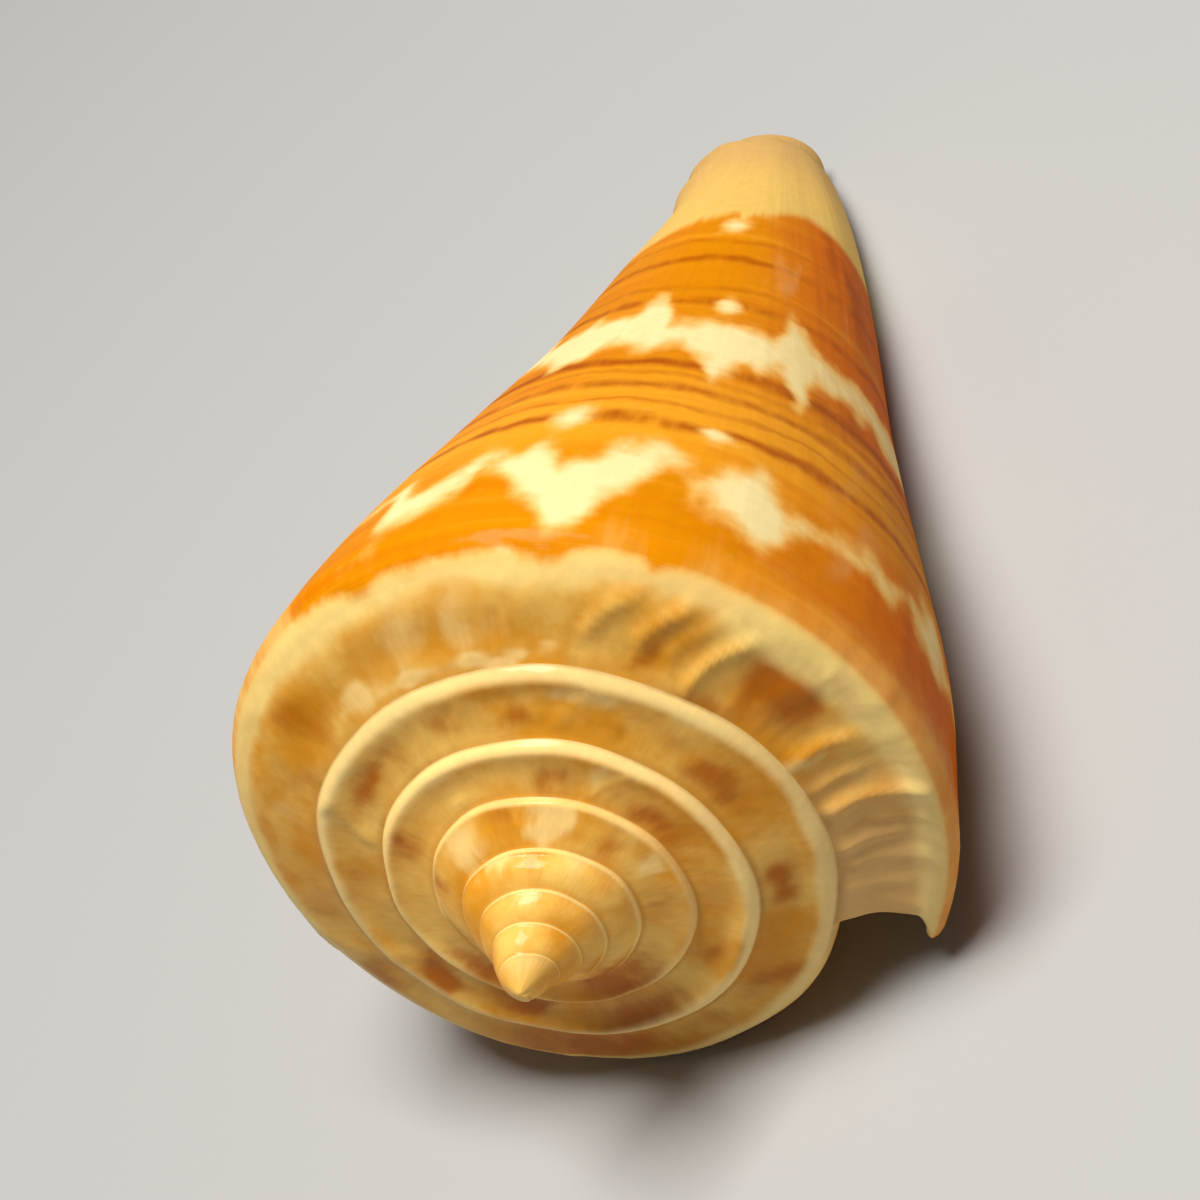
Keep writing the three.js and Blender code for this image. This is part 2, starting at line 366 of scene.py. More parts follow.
# All relief dies out at the suture, at the free front edge, and where the next whorl lies against the wall
SUTURE_SLOPE = (0, 0.09)  # places
FRONT_SLOPE = (1.975, 1.995)  # places
COVERED_RISE = (0.9, SHOULDER)  # places
COVERED_FALL = (SHOULDER, 1.1)  # places
COVERED_FROM = (0.72, 0.98)  # whorls back

# The lip and the wall
LIP_NOSE = 0.3  # how far back from the lip its edge is rounded
LIP_THICKENS = 0.1  # whorls back from the lip to the wall's full thickness
FRONT_THINS = 0.02  # places from the free front edge to the wall's full thickness
SUTURE_TUCK = 0.05  # places from the suture to where the lip's edge is rounded off in full
LIP_EDGE_WIDTH = 0.004  # whorls back from the lip to where the lining no longer follows the relief outside


def uneven(whorl, place, reach, along, across, seed):
    """Smooth noise up to a reach, which comes so often along a whorl and across a place."""
    x, y = np.broadcast_arrays(whorl * along, place * across)
    values = [noise.noise(Vector((a, b, seed))) for a, b in zip(x.ravel().tolist(), y.ravel().tolist())]
    return reach * np.array(values).reshape(x.shape)


def growth_relief(whorl, place):
    """Old lips and growth lines, which lie along the growth."""
    growth = whorl - curve(GROWTH_LEAN, place) * np.clip(whorl / LEAN_WHORL, *LEAN_LIMITS)
    height = np.zeros(np.broadcast(whorl, place).shape)
    for at, tall, wide, first, last in GROWTH_RESTS:
        back = growth - at
        old_lip = np.exp(-np.abs(back / np.where(back < 0, wide, REST_BACK)) ** REST_SHARPNESS)
        rise, fall = [first + end for end in REST_START], [last + end for end in REST_END]
        height += tall * old_lip * plateau(place, rise, fall)
    strength = np.minimum(curve(RIM, whorl, 1) / RIM[0][1], 1)
    strength = strength * (1 - FAINTER_BACK * smoothstep(whorl, *BACK_FROM_LIP))
    strength = strength * (1 - FAINTER_BELOW * smoothstep(place, *BELOW_CREST))
    for lines in GROWTH_LINES:
        height += strength * uneven(growth, place, *lines)
    return height


def relief(whorl, place):
    """How far the outer face stands out from its plain section."""
    radius = curve(RIM, whorl, 1)
    height = growth_relief(whorl, place)
    height += np.minimum(radius / RIM[0][1], 1) * uneven(whorl, place, *SWELLS)
    for at, level, wide, tall in KNOBS:
        apart = np.hypot((whorl - at) / wide, (place - level) / (wide * KNOB_LENGTH))
        height += tall * np.exp(-apart ** 2)
    bead_top = lerp(BEAD_TOP, INNER_BEAD_TOP, smoothstep(whorl, *BEAD_MOVES))
    bead = BEAD * radius * smoothstep(place, bead_top - BEAD_WIDTH, bead_top) ** 2
    bead = bead * (1 - smoothstep(place, bead_top, BEAD_END)) * (1 + uneven(whorl, place, *BEAD_KNOBS))
    swelling = SWELLING * plateau(place, (0, SWELLING_TOP), (SWELLING_TOP, SWELLING_END))
    swelling = swelling * smoothstep(whorl, *SWELLING_STARTS)
    height += lerp(swelling, bead, smoothstep(whorl, *BEAD_STARTS))
    height += BULGE * radius * smoothstep(whorl, *BULGE_STARTS) * arch(np.clip(place / CREST, 0, 1))
    folds = plateau(place, FOLDS_RISE, FOLDS_FALL) * smoothstep(whorl, *FOLDS_START)
    height += FOLD_HEIGHT * folds * np.sin(place * 2 * np.pi / FOLD_PERIOD)
    covered = smoothstep(whorl, *COVERED_FROM) * plateau(place, COVERED_RISE, COVERED_FALL)
    free = smoothstep(place, *SUTURE_SLOPE) * (1 - smoothstep(place, *FRONT_SLOPE))
    return height * free * (1 - covered)


def lip_nose(whorl):
    """0 at the lip's edge and 1 where its rounding ends."""
    from_edge = np.clip(2 * np.pi * RIM[0][1] * whorl / LIP_NOSE, 0, 1)
    return np.sqrt(1 - (1 - from_edge) ** 2)


def wall(whorl, place):
    """The wall's thickness: thin at the lip, and nothing at the free front edge."""
    thick = lerp(LIP_WALL, BODY_WALL, smoothstep(whorl, 0, LIP_THICKENS))
    return thick * smoothstep(FRONT - place, 0, FRONT_THINS)


def wind(whorl, place, radius, height):
    """Turns a point of the section round the axis; near the lip, growth lags behind its own place."""
    lag = np.where(whorl < 1, curve(LIP_EDGE, place) * (1 - smoothstep(whorl, 0, LIP_FADE)), 0)
    angle = 2 * np.pi * (whorl + lag)
    return np.stack(np.broadcast_arrays(radius * np.cos(angle), radius * np.sin(angle), height), -1)


def outer_face(whorl, place):
    """The outer face with its relief; at the lip it curves in to the middle of the wall."""
    radius, height = section(whorl, place)
    out = outward(whorl, place)
    tuck = wall(whorl, place) / 2 * (1 - lip_nose(whorl)) * smoothstep(place, 0, SUTURE_TUCK)
    rise = relief(whorl, place) - tuck * (whorl < HALF_WHORL)
    return wind(whorl, place, radius + out[0] * rise, height + out[1] * rise)


def inner_face(whorl, place):
    """The chamber's lining; its first row lies against the whorl before, under the suture."""
    radius, height = section(whorl, place)
    out = outward(whorl, place)
    depth = wall(whorl, place) / 2 * (1 + lip_nose(whorl)) - relief(whorl, place) * (whorl < LIP_EDGE_WIDTH)
    lining = wind(whorl, place, radius - out[0] * depth, height - out[1] * depth)
    ceiling = outer_face(whorl + 1, np.full_like(place, CEILING_PLACE))
    return np.where((place == 0)[..., None], ceiling, lining)


# Markings, drawn as edges by how many whorls back they are

# The place where the shoulder's cream ends and the side's orange begins
SHOULDER_EDGE = [
    (0, 1.0),
    (0.15, 1.0),
    (0.17, 0.985),
    (0.2, 0.975),
    (0.22, 0.99),
    (0.232, 0.95),
    (0.24, 0.87),
    (0.247, 0.95),
    (0.262, 0.97),
    (0.272, 0.9),
    (0.279, 0.8),
    (0.285, 0.76),
    (0.291, 0.82),
    (0.3, 0.88),
    (0.32, 0.85),
    (0.333, 0.89),
    (0.345, 0.84),
    (0.357, 0.86),
    (0.37, 0.77),
    (0.378, 0.8),
    (0.386, 0.9),
    (0.395, 0.94),
    (0.405, 0.93),
    (0.415, 1.01),
    (0.43, 1.04),
]
# The row of cream flames under the shoulder: first and last place of cream, the same where there is none
CREAM_FLAMES = [
    (0, 1.13, 1.13),
    (0.03, 1.1, 1.17),
    (0.05, 1.14, 1.14),
    (0.08, 1.15, 1.15),
    (0.087, 1.12, 1.19),
    (0.1, 1.12, 1.165),
    (0.108, 1.14, 1.15),
    (0.113, 1.145, 1.145),
    (0.184, 1.12, 1.12),
    (0.193, 1.085, 1.13),
    (0.2, 1.055, 1.148),
    (0.205, 1.055, 1.152),
    (0.213, 1.075, 1.15),
    (0.221, 1.085, 1.135),
    (0.229, 1.1, 1.12),
    (0.234, 1.115, 1.115),
    (0.242, 1.15, 1.15),
    (0.247, 1.135, 1.158),
    (0.255, 1.11, 1.155),
    (0.265, 1.08, 1.142),
    (0.274, 1.04, 1.13),
    (0.281, 1.005, 1.115),
    (0.286, 1.025, 1.1),
    (0.294, 1.05, 1.102),
    (0.297, 1.058, 1.14),
    (0.304, 1.068, 1.15),
    (0.312, 1.08, 1.138),
    (0.318, 1.1, 1.12),
    (0.321, 1.11, 1.11),
    (0.323, 1.14, 1.14),
    (0.327, 1.115, 1.15),
    (0.335, 1.09, 1.138),
    (0.345, 1.068, 1.11),
    (0.356, 1.05, 1.102),
    (0.361, 1.035, 1.108),
    (0.368, 1.05, 1.13),
    (0.373, 1.08, 1.15),
    (0.378, 1.12, 1.12),
]
# The jagged white band at the middle of the side: its first and last place
WHITE_BAND = [
    (0, 1.4, 1.47),
    (0.06, 1.41, 1.46),
    (0.1, 1.4, 1.47),
    (0.12, 1.425, 1.46),
    (0.15, 1.415, 1.455),
    (0.17, 1.41, 1.465),
    (0.177, 1.39, 1.485),
    (0.183, 1.325, 1.505),
    (0.188, 1.33, 1.5),
    (0.193, 1.395, 1.47),
    (0.2, 1.385, 1.442),
    (0.208, 1.368, 1.437),
    (0.215, 1.375, 1.438),
    (0.222, 1.39, 1.442),
    (0.228, 1.345, 1.45),
    (0.233, 1.315, 1.455),
    (0.239, 1.32, 1.455),
    (0.244, 1.36, 1.45),
    (0.254, 1.378, 1.445),
    (0.262, 1.395, 1.438),
    (0.272, 1.385, 1.44),
    (0.278, 1.362, 1.448),
    (0.283, 1.358, 1.49),
    (0.29, 1.362, 1.502),
    (0.297, 1.378, 1.5),
    (0.303, 1.398, 1.47),
    (0.309, 1.385, 1.447),
    (0.32, 1.372, 1.465),
    (0.328, 1.352, 1.472),
    (0.342, 1.345, 1.468),
    (0.35, 1.375, 1.462),
    (0.37, 1.4, 1.45),
]
# The place where the orange ends and the pale front begins
FRONT_EDGE = [
    (0, 1.74),
    (0.12, 1.752),
    (0.17, 1.762),
    (0.2, 1.745),
    (0.215, 1.73),
    (0.24, 1.722),
    (0.25, 1.7),
    (0.255, 1.725),
    (0.28, 1.716),
    (0.32, 1.705),
    (0.36, 1.688),
    (0.4, 1.68),
]
# Small cream dashes on the side: whorls back, place, half width in whorls, half height
DASHES = [
    (0.2985, 1.202, 0.0085, 0.02),
    (0.229, 1.2, 0.006, 0.009),
    (0.2385, 1.49, 0.008, 0.013),
    (0.253, 1.685, 0.013, 0.013),
]
# Blotches, most of them on the ramps, with painted shade and painted highlights among them: whorls back,
# place, half width, half height, lean in whorls for each place, and depth of the brown, or of the cream
# where it is below 0
BLOTCHES_AND_PAINTED_LIGHT = [
    (0.15, 1.12, 0.03, 0.05, 0, -0.9),
    (0.15, 1.26, 0.035, 0.06, 0, -0.6),
    (0.19, 1.65, 0.018, 0.04, -0.2, -0.9),
    (0.135, 1.57, 0.02, 0.05, 0, -0.5),
    (0.14, 1.71, 0.035, 0.05, 0, 1.0),
    (0.105, 1.6, 0.012, 0.12, 0, 0.7),
    (0.14, 1.36, 0.04, 0.05, 0, 0.7),
    (0.16, 1.5, 0.02, 0.02, 0, 0.5),
    (0.16, 1.06, 0.06, 0.03, 0, 0.35),
    (0.06, 0.55, 0.01, 0.5, -0.02, 0.25),
    (0.163, 0.25, 0.024, 0.34, -0.05, 1.2),
    (0.147, 0.56, 0.014, 0.2, -0.05, 0.9),
    (0.137, 0.78, 0.011, 0.16, 0.04, -2.0),
    (0.123, 0.15, 0.006, 0.25, 0, -0.6),
    (0.066, 0.3, 0.007, 0.25, -0.03, 0.35),
    (0.048, 0.2, 0.008, 0.3, 0, 0.4),
    (0.036, 0.6, 0.006, 0.3, 0, 0.3),
    (0.02, 0.35, 0.006, 0.3, 0, 0.3),
    (0.234, 0.16, 0.008, 0.12, -0.03, 0.9),
    (0.213, 0.42, 0.012, 0.2, -0.06, 0.6),
    (0.29, 0.12, 0.012, 0.14, 0, 0.35),
    (0.342, 0.22, 0.008, 0.22, 0, 0.4),
    (0.366, 0.085, 0.022, 0.06, 0, -1.4),
    (0.318, 0.075, 0.024, 0.05, 0, -1.4),
    (0.281, 0.11, 0.01, 0.06, 0, -0.9),
    (0.421, 0.1, 0.011, 0.1, 0, -0.9),
    (0.403, 0.135, 0.01, 0.09, 0, -1.2),
    (0.455, 0.45, 0.018, 0.25, 0.03, 0.8),
    (0.485, 0.12, 0.018, 0.16, 0, 0.55),
    (0.43, 0.2, 0.03, 0.2, 0, 0.35),
    (0.34, 0.38, 0.06, 0.28, 0, -0.5),
    (0.52, 0.25, 0.01, 0.2, 0, -0.5),
    (0.545, 0.15, 0.012, 0.2, 0, 0.5),
    (0.59, 0.3, 0.02, 0.3, 0, 0.4),
    (0.655, 0.5, 0.012, 0.5, 0.01, 0.8),
    (0.69, 0.4, 0.015, 0.4, 0, -0.5),
    # Painted shade, partly real brown: a deep wide brown on the underside of the spire
    (0.8, 0.35, 0.07, 0.45, 0, 1.2),
    (0.955, 0.5, 0.018, 0.45, 0.03, 0.9),
    (0.9, 0.3, 0.02, 0.3, 0, 0.4),
    (1.048, 0.28, 0.018, 0.2, 0, 1.1),
    (1.15, 0.3, 0.03, 0.2, 0, 1.0),
    (1.24, 0.25, 0.01, 0.2, 0, 0.5),
    # Painted highlight, partly real cream: a pale patch on the top side of the crest
    (1.25, 0.62, 0.03, 0.15, 0, -0.7),
    (1.302, 0.25, 0.012, 0.22, 0, 0.9),
    (1.36, 0.35, 0.012, 0.2, 0, 0.6),
    (1.45, 0.38, 0.035, 0.18, 0, 0.8),
    (1.505, 0.12, 0.01, 0.12, 0, -0.7),
    (1.56, 0.5, 0.03, 0.4, 0, 0.5),
    # Painted shade, partly real brown: the deep browns from here to 1.85 lie on the underside of the spire
    (1.67, 0.45, 0.025, 0.5, 0.03, 1.2),
    (1.715, 0.7, 0.018, 0.25, 0, -0.6),
    (1.75, 0.3, 0.03, 0.4, 0, 1.1),
    (1.78, 0.3, 0.01, 0.15, 0, -0.5),
    (1.85, 0.6, 0.05, 0.6, 0, 1.1),
    (1.93, 0.3, 0.015, 0.2, 0, -0.6),
    (1.965, 0.35, 0.02, 0.25, 0, 0.9),
    (2.04, 0.3, 0.03, 0.3, 0, 0.35),
    (2.15, 0.2, 0.045, 0.25, 0, 1.0),
    (2.225, 0.5, 0.012, 0.5, -0.04, -0.8),
    (2.275, 0.3, 0.022, 0.3, 0, 0.75),
    # Painted highlight, partly real cream: a pale patch on the top side of the crest
    (2.34, 0.72, 0.03, 0.12, 0, -0.8),
    (2.385, 0.17, 0.012, 0.1, 0, -0.8),
    (2.485, 0.5, 0.022, 0.3, 0, 0.9),
    (2.565, 0.75, 0.02, 0.25, 0, 0.5),
    (2.62, 0.3, 0.02, 0.3, 0, -0.4),
    # Painted shade, partly real brown: the deep browns at 2.7 and 2.86 lie on the underside of the spire
    (2.7, 0.5, 0.04, 0.6, 0, 1.0),
    (2.86, 0.4, 0.06, 0.6, 0, 1.2),
    (2.99, 0.4, 0.015, 0.3, 0, -0.4),
    (3.05, 0.3, 0.03, 0.4, 0, 0.5),
    (3.12, 0.45, 0.02, 0.35, 0, -0.9),
    (3.18, 0.3, 0.02, 0.4, 0, 0.8),
    (3.27, 0.45, 0.03, 0.45, 0, -1.2),
    (3.35, 0.6, 0.025, 0.3, 0, 0.4),
    (3.42, 0.45, 0.04, 0.4, 0, -1.1),
    (3.33, 0.5, 0.02, 0.5, 0, 0.6),
    (3.51, 0.55, 0.022, 0.35, 0, 0.8),
    (3.62, 0.5, 0.05, 0.5, 0, 0.3),
    (3.9, 0.5, 0.05, 0.5, 0, 1.0),
    (4.15, 0.5, 0.03, 0.4, 0, 0.5),
    (4.22, 0.6, 0.04, 0.5, 0, -0.8),
    (4.28, 0.3, 0.02, 0.4, 0, 0.4),
    # Painted highlight, partly real cream: a pale patch on the top side of the crest
    (4.36, 0.75, 0.05, 0.4, 0, -0.9),
    (4.5, 0.4, 0.05, 0.5, 0, 0.3),
    (4.95, 0.4, 0.05, 0.5, 0, 0.6),
    (5.12, 0.4, 0.05, 0.4, 0, 0.4),
    (5.3, 0.6, 0.05, 0.4, 0, -0.8),
    (5.55, 0.5, 0.05, 0.4, 0, -0.4),
    (5.22, 0.3, 0.03, 0.3, 0, 0.4),
    (6.3, 0.7, 0.1, 0.3, 0, -0.5),
    (6.15, 0.3, 0.05, 0.3, 0, 0.5),
    (7.3, 0.6, 0.2, 0.6, 0, -0.7),
]
# The brown band inside the crest of the middle whorls: its depth, the whorls and the places
INNER_BROWN = 0.08
INNER_BROWN_STARTS, INNER_BROWN_ENDS = (0.85, 1.1), (2.6, 3.1)
INNER_BROWN_PLACES = (0.42, 0.62)
FIELD_LIMIT = 2.0  # the fields are cut off where no ragged edge can reach
FLAME_EDGE = 0.015  # places from a flame's edge to where its field is 1
DASH_EDGE = 2  # a dash's field at its middle
SOFTENING = (-0.0045, -0.0015, 0.0015, 0.0045)  # a band's edges are averaged over these shifts in whorls
# How far the flames' and the band's edges wander off the lines drawn above, and the blotches' outlines off
# their ovals, in whorls and in places: reach, how often it comes in a whorl and in a place, and seed
BEND_WHORL, BEND_PLACE = (0.006, 75, 25, 31.0), (0.022, 65, 20, 37.0)
STRAY_WHORL, STRAY_PLACE = (0.018, 38, 3, 41.0), (0.14, 34, 3, 43.0)
MARKED_WHORLS = 1.1  # the side's marks go on until here, past the end of the last whorl
UNEVEN_STEPS = (0.6, 1.4)  # the shortest and longest step, as shares of the usual one
# On the old whorls all of the ramp is on the cream side of the shoulder's edge
OLD_WHORLS, OLD_SHIFT = (0.95, 1), 0.3


def goes_on(rows, start, step, spread, seed):
    """Rows that carry a jagged edge on round the hidden part of the whorl, past those listed."""
    draw = random.Random(seed)
    added, whorl = [], start
    while whorl < MARKED_WHORLS:
        whorl += step * draw.uniform(*UNEVEN_STEPS)
        added.append((whorl, *(level + draw.uniform(-1, 1) * reach for level, reach in spread)))
    return rows + added


# The four edges round the whole last whorl: usual step in whorls, and mean place and reach of each line
ALL_FLAMES = goes_on(CREAM_FLAMES, 0.4, step=0.02, spread=((1.105, 0.045), (1.12, 0.04)), seed=3)
WHOLE_BAND = goes_on(WHITE_BAND, 0.37, step=0.012, spread=((1.385, 0.035), (1.46, 0.03)), seed=5)
WHOLE_SHOULDER = goes_on(SHOULDER_EDGE, 0.43, step=0.012, spread=((1.035, 0.02),), seed=7)
WHOLE_FRONT = goes_on(FRONT_EDGE, 0.4, step=0.03, spread=((1.715, 0.015),), seed=9)


def line(rows, whorl, column=1):
    """The place of a jagged line, which is straight from row to row."""
    return np.interp(whorl, [row[0] for row in rows], [row[column] for row in rows])


def band(rows, whorl, place):
    """Above 0 between a band's two edges, which are softened along the whorl too."""
    field = 0
    for shift in SOFTENING:
        first, last = (line(rows, whorl + shift, column) for column in (1, 2))
        inside = np.minimum(place - first, last - place) / FLAME_EDGE
        field = field + np.clip(inside, -FIELD_LIMIT, FIELD_LIMIT) / len(SOFTENING)
    return field


def cream_marks(whorl, place):
    """Above 0 in the flames, the white band and the dashes."""
    bent = whorl + uneven(whorl, place, *BEND_WHORL), place + uneven(whorl, place, *BEND_PLACE)
    cream = np.maximum(band(ALL_FLAMES, *bent), band(WHOLE_BAND, *bent))
    for at, level, wide, high in DASHES:
        dash = DASH_EDGE * (1 - np.hypot((whorl - at) / wide, (place - level) / high))
        cream = np.maximum(cream, dash)
    return cream


def browns_and_painted_light(whorl, place):
    """Above 0 in brown blotches and painted shade, and below 0 in pale ones and painted highlights."""
    band_of_brown = plateau(whorl, INNER_BROWN_STARTS, INNER_BROWN_ENDS)
    brown = INNER_BROWN * band_of_brown * (1 - smoothstep(place, *INNER_BROWN_PLACES))
    stray_whorl = whorl + uneven(whorl, place, *STRAY_WHORL)
    stray_place = place + uneven(whorl, place, *STRAY_PLACE)
    for at, level, wide, high, lean, depth in BLOTCHES_AND_PAINTED_LIGHT:
        across = (stray_whorl - at - lean * (stray_place - level)) / wide
        brown = brown + depth * np.exp(-(across ** 2) - ((stray_place - level) / high) ** 2)
    return brown


def marks(whorl, place):
    """The fields that the outside's colours are mixed by, each at every point."""
    old_ramps = OLD_SHIFT * smoothstep(whorl, *OLD_WHORLS) * (place <= SHOULDER)
    return {
        "orange": place - line(WHOLE_SHOULDER, whorl) - old_ramps,
        "cream": cream_marks(whorl, place),
        "front": place - line(WHOLE_FRONT, whorl),
        "brown": browns_and_painted_light(whorl, place),
    }


# Mesh

SEAM_GAP = 0.001  # two sheets are joined where they come this close
SHORTEST_EDGE = 0.0001


def deselect_all():
    for thing in list(bpy.context.selected_objects):
        thing.select_set(False)


def wound_grid(name, whorls, places, surface, material):
    """Adds a flat grid, with a column for each whorl value and a row for each place, and winds it up."""
    whorls, places = np.asarray(whorls, float), np.asarray(places, float)
    across, down = len(whorls) - 1, len(places) - 1
    bpy.ops.mesh.primitive_grid_add(x_subdivisions=across, y_subdivisions=down, size=1)
    grid = bpy.context.object
    grid.name = name
    mesh = grid.data
    flat = vertex_positions(mesh)
    whorl = whorls[np.rint((flat[:, 0] + 0.5) * across).astype(int)]
    place = places[np.rint((flat[:, 1] + 0.5) * down).astype(int)]
    mesh.vertices.foreach_set("co", (surface(whorl, place) * MM).ravel())
    corner = np.empty(len(mesh.loops), int)
    mesh.loops.foreach_get("vertex_index", corner)
    while mesh.uv_layers:
        mesh.uv_layers.remove(mesh.uv_layers[0])
    growth = np.stack([whorl[corner], place[corner]], -1)
    mesh.uv_layers.new(name="growth").data.foreach_set("uv", growth.ravel())
    for mark, field in marks(whorl, place).items():
        mesh.attributes.new(mark, "FLOAT", "CORNER").data.foreach_set("value", field[corner])
    mesh.materials.append(material)
    mesh.update()
    return grid


def vertex_positions(mesh):
    flat = np.empty(len(mesh.vertices) * 3)
    mesh.vertices.foreach_get("co", flat)
    return flat.reshape(-1, 3)


def columns(first, last):
    """The whorl values of all columns from one whorl to another."""
    whole = range(int(first), math.ceil(last) + 1)
    values = [whorl + part for whorl in whole for part in FRACTIONS]
    return [value for value in values if first <= value <= last + TINY]


def lip_root(whorl, place):
    """A small web between the lip's corner and the whorl that it grows on."""
    corner = outer_face(np.zeros_like(place), np.full_like(place, TOP_PLACES[1]))
    return np.where((whorl == 0)[..., None], corner, outer_face(np.ones_like(place), place))


def chamber_end(whorl, place):
    """The wall that closes the chamber off, from its lining (0) across to the columella (1)."""
    at = np.full_like(place, CHAMBER_WHORLS)
    columella = outer_face(at + 1, np.maximum(place, CEILING_PLACE))
    return np.where((whorl == 0)[..., None], inner_face(at, place), columella)


def make_shell():
    """Winds the sheets of the shell and joins them into one closed mesh."""
    outside, lining = outside_material(), lining_material()
    root_places = SIDE_PLACES[SIDE_PLACES <= CEILING_PLACE]
    deselect_all()
    sheets = [
        wound_grid("spire", columns(0, WHORLS), TOP_PLACES, outer_face, outside),
        wound_grid("last_whorl", columns(0, 1), SIDE_PLACES, outer_face, outside),
        wound_grid("columella", columns(1, 1 + CHAMBER_WHORLS), COLUMELLA_PLACES, outer_face, lining),
        wound_grid("lining", columns(0, CHAMBER_WHORLS), ALL_PLACES, inner_face, lining),
        wound_grid("lip_root", (0, 1), root_places, lip_root, outside),
        wound_grid("chamber_end", (0, 1), ALL_PLACES, chamber_end, lining),
    ]
    deselect_all()
    for sheet in sheets:
        sheet.select_set(True)
    shell = sheets[0]
    bpy.context.view_layer.objects.active = shell
    bpy.ops.object.join()
    shell.name = "cone_shell"
    bpy.ops.object.mode_set(mode="EDIT")
    bpy.ops.mesh.select_all(action="SELECT")
    bpy.ops.mesh.remove_doubles(threshold=SEAM_GAP * MM)
    bpy.ops.mesh.dissolve_degenerate(threshold=SHORTEST_EDGE * MM)
    bpy.ops.mesh.normals_make_consistent(inside=False)
    bpy.ops.object.mode_set(mode="OBJECT")
    bpy.ops.object.shade_smooth()
    return shell


def lay_down(shell):
    """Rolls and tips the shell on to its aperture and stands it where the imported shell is."""
    tip = Matrix.Rotation(math.pi / 2 - SPIRE_TILT, 4, "X")
    shell.data.transform(tip @ Matrix.Rotation(ROLL, 4, "Z"))
    low, high = cad_box
    positions = vertex_positions(shell.data)
    least, most = positions.min(axis=0), positions.max(axis=0)
    sideways = (low.x + high.x) / 2 - (least[0] + most[0]) / 2
    shell.data.transform(Matrix.Translation((sideways, low.y - least[1], low.z - least[2])))


# Materials


def linear(red, green, blue):
    """A colour given as 0 to 255 on screen, as the linear values that a shader takes."""
    shares = [part / 255 for part in (red, green, blue)]
    return (*(s / 12.92 if s <= 0.04045 else ((s + 0.055) / 1.055) ** 2.4 for s in shares), 1)


CREAM = linear(254, 233, 168)
FLAME_GLOW = linear(250, 190, 92)
SHOULDER_CREAM = linear(255, 228, 146)
FRONT_CREAM = linear(242, 198, 104)
FRONT_TAN = linear(226, 180, 106)
ORANGE = linear(227, 139, 5)
BURNT_ORANGE = linear(218, 105, 3)
MIDDLE_ORANGE = linear(248, 165, 34)
LINE_BROWN = linear(172, 76, 2)
PEACH = linear(226, 150, 74)
RAMP_AMBER = linear(222, 149, 38)
RAMP_TAN = linear(242, 194, 98)
RAMP_CREAM = linear(255, 224, 150)
RAMP_PALE = linear(248, 208, 128)
RAMP_BROWN = linear(182, 98, 10)
LIP_BEIGE = linear(228, 186, 120)
# Painted shade: the dark brown in the crease at the suture
SUTURE_SHADE = linear(150, 88, 20)

# Brown lines round the side: place, half width and depth
LINES = [
    (1.205, 0.014, 0.85),
    (1.243, 0.007, 0.4),
    (1.283, 0.013, 0.7),
    (1.31, 0.007, 0.35),
    (1.337, 0.015, 0.9),
    (1.5, 0.012, 0.75),
    (1.535, 0.009, 0.35),
    (1.603, 0.012, 0.7),
    (1.65, 0.008, 0.35),
]
LINE_BLUR = 1.2  # how far a line's soft edge reaches, in half widths

# Noise over the surface: waves in a metre, detail and roughness
CLOUDS = (190, 3, 0.5)
COARSE = (480, 4, 0.6)
FINE = (1700, 3, 0.5)
# Noise drawn out over the growth: waves in a whorl and in a place, detail and roughness
STREAKS = (60, 1.6, 4, 0.6)
HAIRS = (200, 4, 2, 0.5)
RINGS = (4, 34, 3, 0.5)
LINING_STREAKS = (60, 2, 4, 0.6)
# How much of a noise is added to a place, a whorl, a mark or a finish
LIP_STREAKS = 0.1
LINE_COARSE, LINE_CLOUDS = 0.02, 0.045
RAMP_COARSE = 0.6
BLOTCH_STREAKS = 0.8
CREST_CLOUDS = 0.5
EDGE_COARSE, EDGE_STREAKS, EDGE_HAIRS = 0.09, 0.14, 0.1
FRONT_RAGGED = 0.12
FLAME_COARSE, FLAME_FINE = 3, 0.4
GRAIN_HAIRS, GRAIN_FINE = 0.12, 0.16
BUMP_HAIRS, BUMP_FINE = 0.3, 0.25
ROUGH_FINE = 0.2
LINING_ROUGH_STREAKS = 0.15

# Where a share of a colour depends on a place, on whorls back, on a mark or on noise, its range is the value
# where the share starts, the value where it is full, and the full share where that isn't 1

# The side
BURNT = (0.25, 0.1)  # whorls back
SLANT = (0.24, 0.08, 0.03)  # whorls back, and places that the lines lie nearer the front by at the lip
MIDDLE_STARTS = (1.1, 1.18)  # places
MIDDLE_ENDS = (1.36, 1.26)  # places
PALE_RINGS = (0, 0.3, 0.7)
BURNT_RINGS = (0, -0.3, 0.6)
LINE_GAPS = (-0.4, 0.1)
SIDE_BROWN = (0.3, 1.2, 0.8)
SIDE_PEACH = (-0.3, -1.0, 0.75)

# The ramps
TAN_CLOUDS = (-0.18, 0.18)
TAN_TOP = (3.4, 4.2, 0.04)  # whorls back: the smallest whorls have more tan
LIP_TAN = (0.14, 0.05, 0.8)  # whorls back
RAMP_BLOTCHES_AND_SHADE = (0, 1.2, 0.95)
RAMP_PATCHES_AND_HIGHLIGHTS = (-0.2, -1.0, 0.95)

# The cream on the crests
CREAM_START = 0.5  # the place where it starts on the last whorl
CREAM_MOVES = (0.8, 1.2, 0.11)  # whorls back, and places that it starts further out by
CREAM_COVERS = (0, 0.2)  # places past its start
CREST_SHARE = 0.65
CREST_MORE = (0.7, 1, 0.15)  # whorls back
CREST_LESS = (2, 3, -0.3)  # whorls back
CREST_CHANGES = (0.5, 1.2)  # whorls back, from the shoulder's cream to the ramps'

